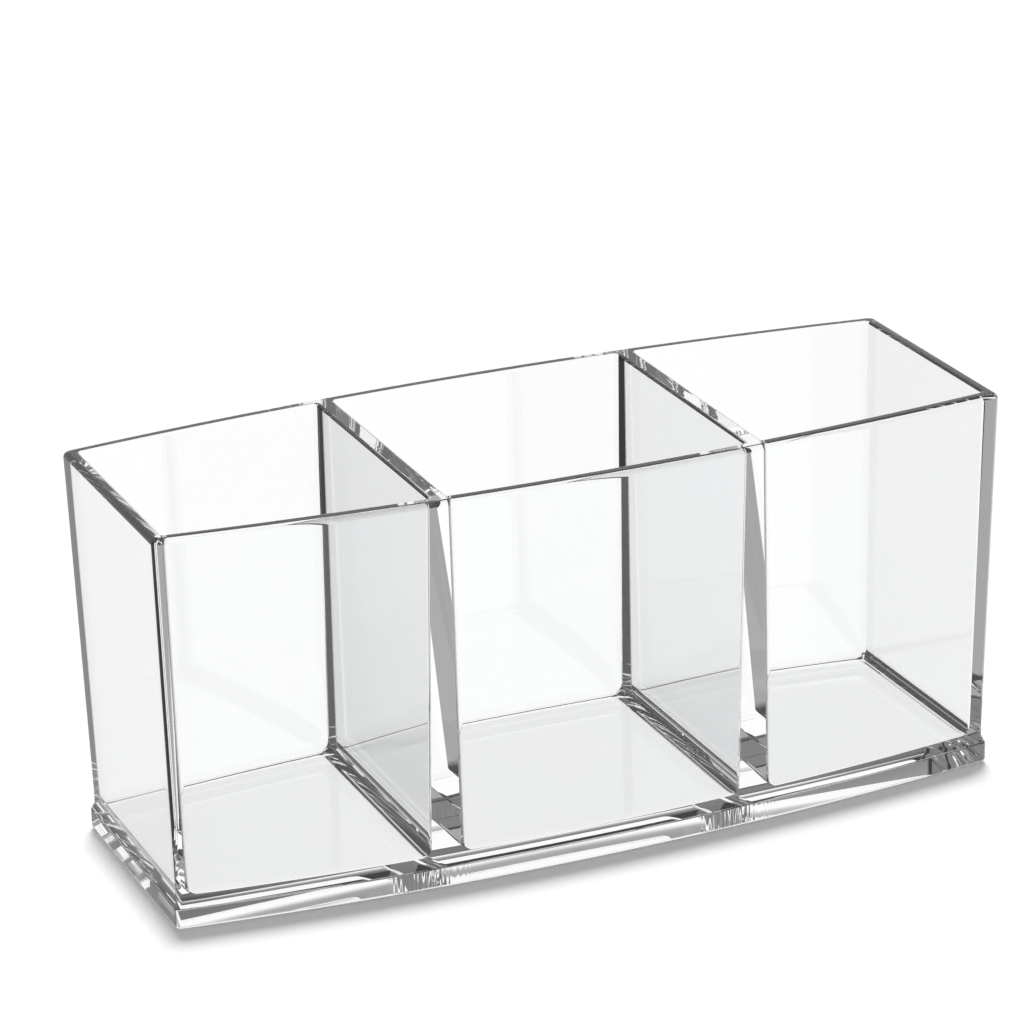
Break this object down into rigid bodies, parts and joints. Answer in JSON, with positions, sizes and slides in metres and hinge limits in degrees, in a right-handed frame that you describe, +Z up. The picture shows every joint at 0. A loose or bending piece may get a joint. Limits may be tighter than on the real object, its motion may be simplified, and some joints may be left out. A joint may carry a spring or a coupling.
{
  "type": "three-cell cosmetics storage box",
  "caption": "Clear open-top storage box with bowed front and back walls, two dividers making upright cells, on a plinth with coved wells.",
  "frame": {"origin": "on the resting surface, under the middle of the plinth", "axes": "+X along the length to the right as seen from the front, -Y towards the front, +Z up out of the cells"},
  "size_m": [0.22, 0.0818, 0.0995],
  "materials": {
    "clear_plastic": "polished clear acrylic, edges polished"
  },
  "bodies": {
    "root": {"plinth": "clear_plastic", "front_wall": "clear_plastic", "back_wall": "clear_plastic", "left_end_wall": "clear_plastic", "left_divider": "clear_plastic", "right_divider": "clear_plastic", "right_end_wall": "clear_plastic"}
  },
  "joints": []
}
